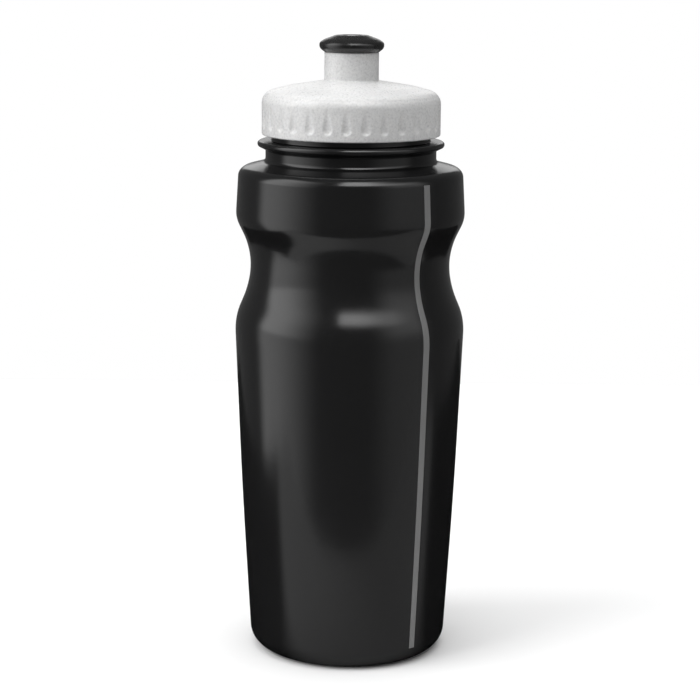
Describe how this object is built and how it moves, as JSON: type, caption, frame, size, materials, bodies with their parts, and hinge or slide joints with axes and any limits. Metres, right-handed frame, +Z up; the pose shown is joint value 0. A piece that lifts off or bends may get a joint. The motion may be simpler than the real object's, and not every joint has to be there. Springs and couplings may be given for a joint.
{
  "type": "sports squeeze bottle",
  "caption": "Squeezable plastic drinking bottle with a grip waist, a fluted screw lid with a chimney, and a push-pull drinking spout.",
  "frame": {"origin": "centre of the base on the resting plane", "axes": "+Z up the bottle's axis, -Y towards the front, +X to the right; the side stripe is to the front right"},
  "size_m": [0.0726, 0.0726, 0.1969],
  "materials": {
    "bottle_plastic": "satin black polyethylene",
    "stripe_plastic": "mid-grey",
    "lid_plastic": "white with a fine grey speckle",
    "stem_plastic": "smooth black",
    "mouthpiece_rubber": "soft black, slightly glossy",
    "gasket_silicone": "translucent white silicone",
    "seal_rubber": "black"
  },
  "bodies": {
    "bottle": {"bottle_body": "bottle_plastic", "level_stripe": "stripe_plastic"},
    "gasket": {"lid_gasket": "gasket_silicone"},
    "lid": {"screw_lid": "lid_plastic", "valve_pin": "lid_plastic"},
    "seal": {"stem_seal": "seal_rubber"},
    "spout": {"spout_stem": "stem_plastic", "mouthpiece": "mouthpiece_rubber"}
  },
  "joints": [
    {"name": "lid_lift", "type": "slide", "parent": "bottle", "child": "gasket", "axis": [0, 0, 1], "range_m": [0, 0.012]},
    {"name": "lid_turn", "type": "hinge", "parent": "gasket", "child": "lid", "pos_m": [0, 0, 0.17], "axis": [0, 0, 1], "range_deg": [0, 720]},
    {"name": "spout_pull", "type": "slide", "parent": "lid", "child": "seal", "axis": [0, 0, 1], "range_m": [0, 0.0062]},
    {"name": "spout_spin", "type": "hinge", "parent": "seal", "child": "spout", "pos_m": [0, 0, 0.19], "axis": [0, 0, 1], "continuous": true}
  ],
  "couplings": [
    {"joint": "lid_lift", "follows": "lid_turn", "m_per_rad": 0.00095493}
  ]
}
